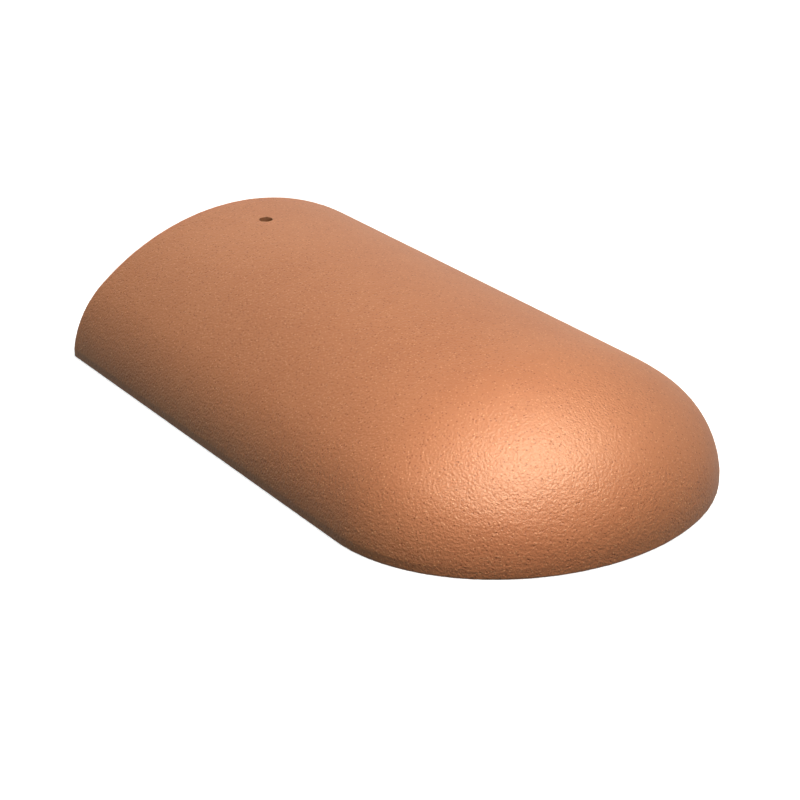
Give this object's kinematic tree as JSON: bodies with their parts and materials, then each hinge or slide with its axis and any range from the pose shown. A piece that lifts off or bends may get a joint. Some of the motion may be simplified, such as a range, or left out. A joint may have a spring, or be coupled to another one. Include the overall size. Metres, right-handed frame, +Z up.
{
  "type": "closed-end clay hip tile",
  "caption": "Half-round terracotta hip starter tile: a straight barrel open at one end and closed by a rounded nose at the other, hollow beneath, with a nail hole in the crest.",
  "frame": {"origin": "middle of the tile's length and width, on the floor that its foot stands on", "axes": "+Y along the tile towards its open end, so the closed nose points along -Y; +Z up towards the crest"},
  "size_m": [0.24, 0.4, 0.079],
  "materials": {
    "fired_clay": "unglazed fired clay, fine sandy grain, dull with a soft sheen"
  },
  "bodies": {
    "root": {"hip_tile": "fired_clay"}
  },
  "joints": []
}
